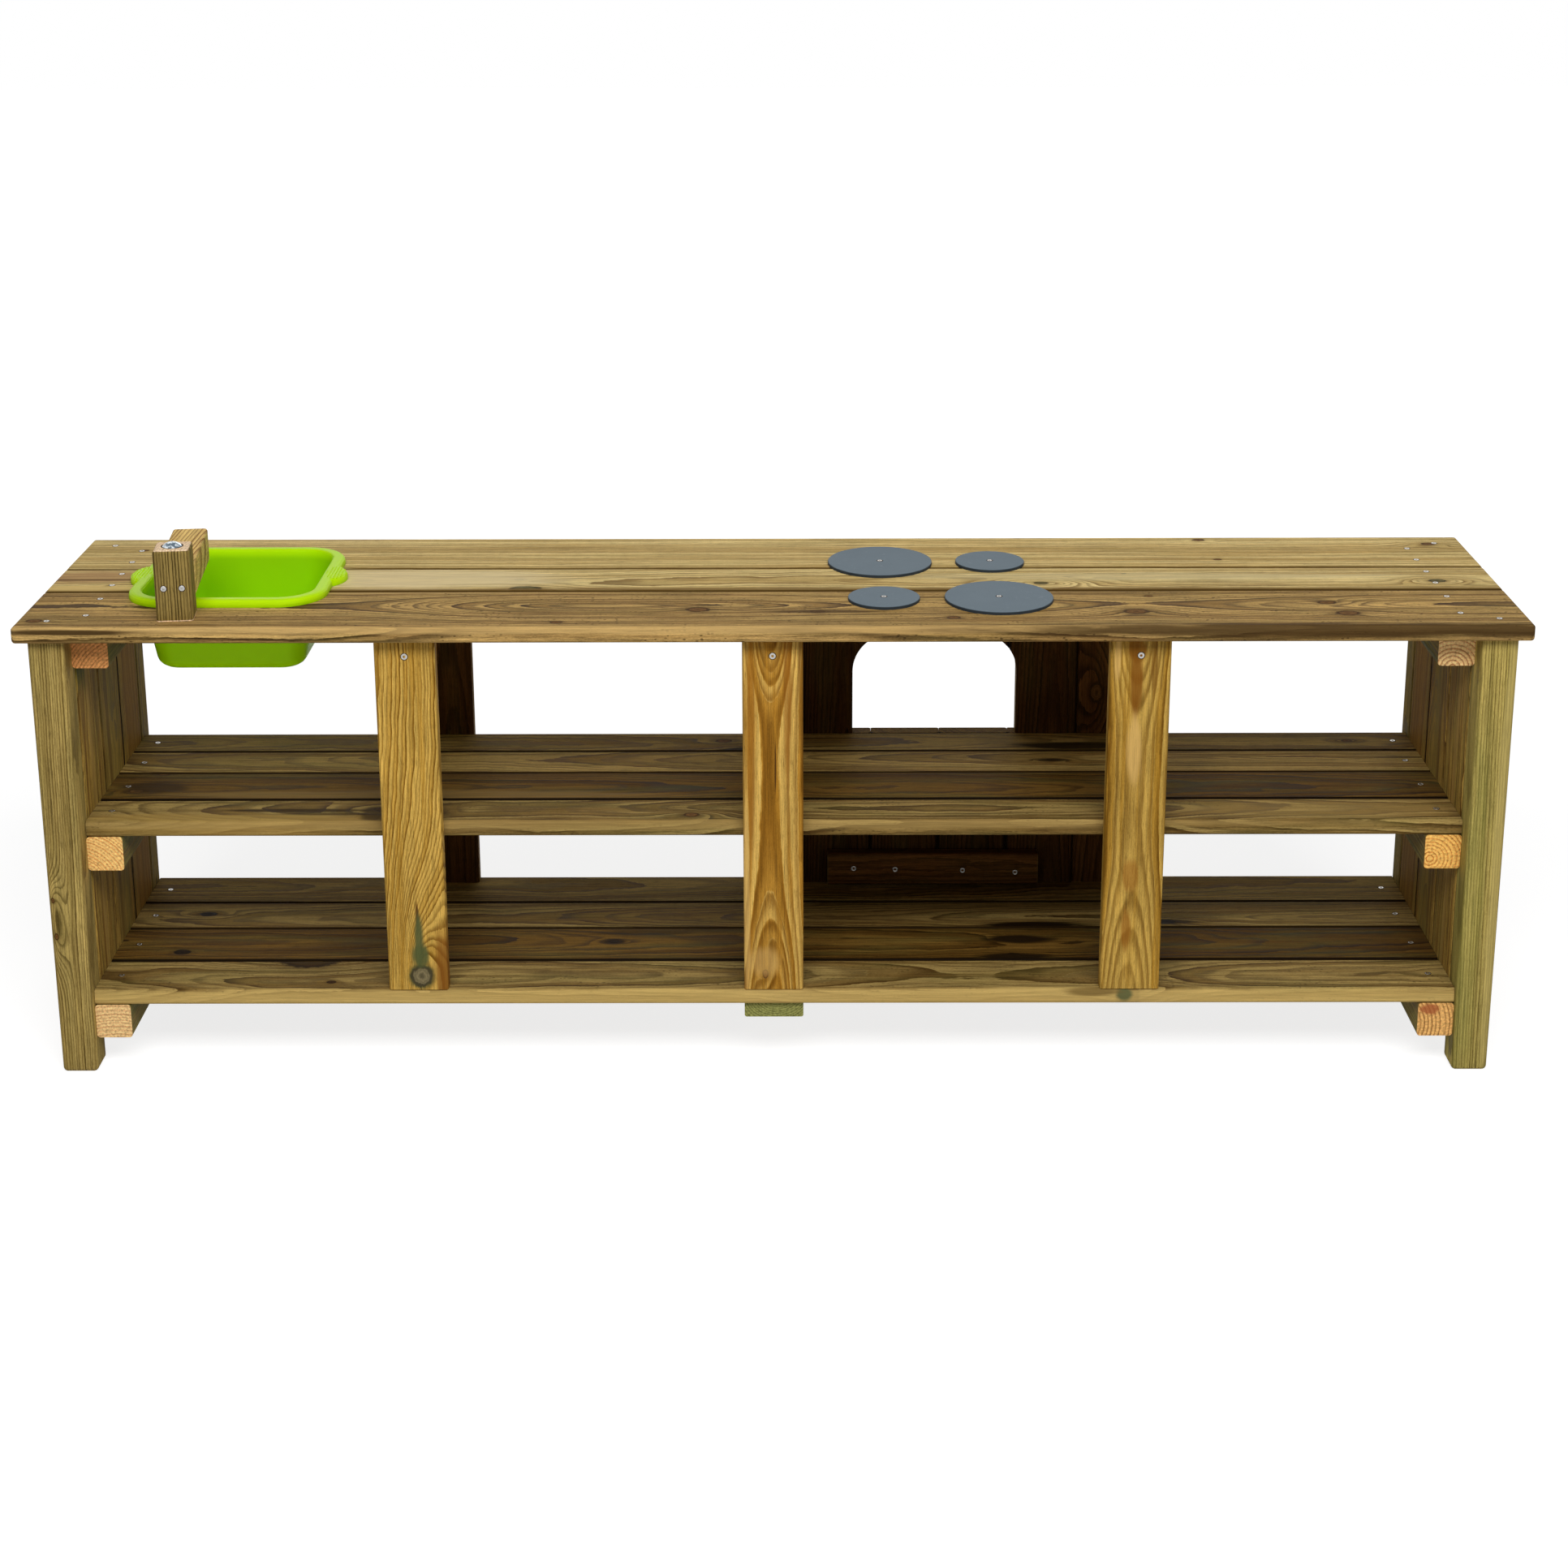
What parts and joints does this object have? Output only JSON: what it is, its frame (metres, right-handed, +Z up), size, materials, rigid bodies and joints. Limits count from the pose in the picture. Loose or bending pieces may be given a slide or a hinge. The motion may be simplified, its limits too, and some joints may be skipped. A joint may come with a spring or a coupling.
{
  "type": "mud kitchen",
  "caption": "Long low wooden play kitchen with a plank worktop, lift-out basin, swivelling wooden tap, round hob plates, board shelves in bays and an arched oven mouth.",
  "frame": {"origin": "on the ground, under the middle of the worktop", "axes": "+X along the worktop away from the basin, +Y from the near side to the oven side, +Z up"},
  "size_m": [1.85, 0.4, 0.6955],
  "materials": {
    "pine_worktop": "planed pressure-treated pine, olive-tan, outdoor matt",
    "pine_shelf": "planed pressure-treated pine, darker brown-olive",
    "pine_upright": "planed pressure-treated pine, golden",
    "pine_post": "planed pressure-treated pine, olive-green",
    "pine_panel": "planed pressure-treated pine, brown-olive",
    "pine_cleat": "planed pine with pale orange end grain",
    "pine_tap": "planed pine with an upright narrow grain",
    "zinc_steel": "bright zinc",
    "green_plastic": "moulded lime green, satin",
    "slate_plastic": "slate grey sheet, finely textured"
  },
  "bodies": {
    "frame": {"bottom_bearer": "pine_shelf", "bottom_shelf_board_1": "pine_shelf", "bottom_shelf_board_2": "pine_shelf", "bottom_shelf_board_3": "pine_shelf", "bottom_shelf_board_4": "pine_shelf", "cleat_bottom_left": "pine_cleat", "cleat_bottom_right": "pine_cleat", "cleat_middle_left": "pine_cleat", "cleat_middle_right": "pine_cleat", "cleat_top_left": "pine_cleat", "cleat_top_right": "pine_cleat", "end_slats_left": "pine_panel", "end_slats_right": "pine_panel", "hob_plate_large_front": "slate_plastic", "hob_plate_large_rear": "slate_plastic", "hob_plate_small_front": "slate_plastic", "hob_plate_small_rear": "slate_plastic", "hob_screws": "zinc_steel", "middle_batten_centre": "pine_cleat", "middle_batten_left": "pine_cleat", "middle_batten_right": "pine_cleat", "middle_shelf_board_1": "pine_shelf", "middle_shelf_board_2": "pine_shelf", "middle_shelf_board_3": "pine_shelf", "middle_shelf_board_4": "pine_shelf", "oven_board_left": "pine_panel", "oven_board_lower_left": "pine_panel", "oven_board_lower_right": "pine_panel", "oven_board_right": "pine_panel", "oven_board_upper_left": "pine_panel", "oven_board_upper_right": "pine_panel", "oven_lower_batten": "pine_panel", "oven_upper_batten": "pine_panel", "post_front_left": "pine_post", "post_front_right": "pine_post", "post_rear_left": "pine_post", "post_rear_right": "pine_post", "top_batten_centre": "pine_cleat", "top_batten_left": "pine_cleat", "top_batten_right": "pine_cleat", "upright_front_centre": "pine_upright", "upright_front_left": "pine_upright", "upright_front_right": "pine_upright", "upright_rear_centre": "pine_upright", "upright_rear_left": "pine_upright", "upright_rear_right": "pine_upright", "worktop_front_plank": "pine_worktop", "worktop_middle_plank_left": "pine_worktop", "worktop_middle_plank_right": "pine_worktop", "worktop_rear_plank": "pine_worktop"},
    "tap": {"tap_bolt": "zinc_steel", "tap_nut": "zinc_steel", "tap_screws": "zinc_steel", "tap_spout": "pine_tap", "tap_upright": "pine_tap", "tap_washer": "zinc_steel"},
    "basin": {"basin": "green_plastic"}
  },
  "joints": [
    {"name": "tap_swivel", "type": "hinge", "parent": "frame", "child": "tap", "pos_m": [-0.732, -0.1535, 0.6], "axis": [0, 0, 1], "continuous": true},
    {"name": "basin_lift", "type": "slide", "parent": "frame", "child": "basin", "axis": [0, 0, 1], "range_m": [0, 0.008]}
  ]
}
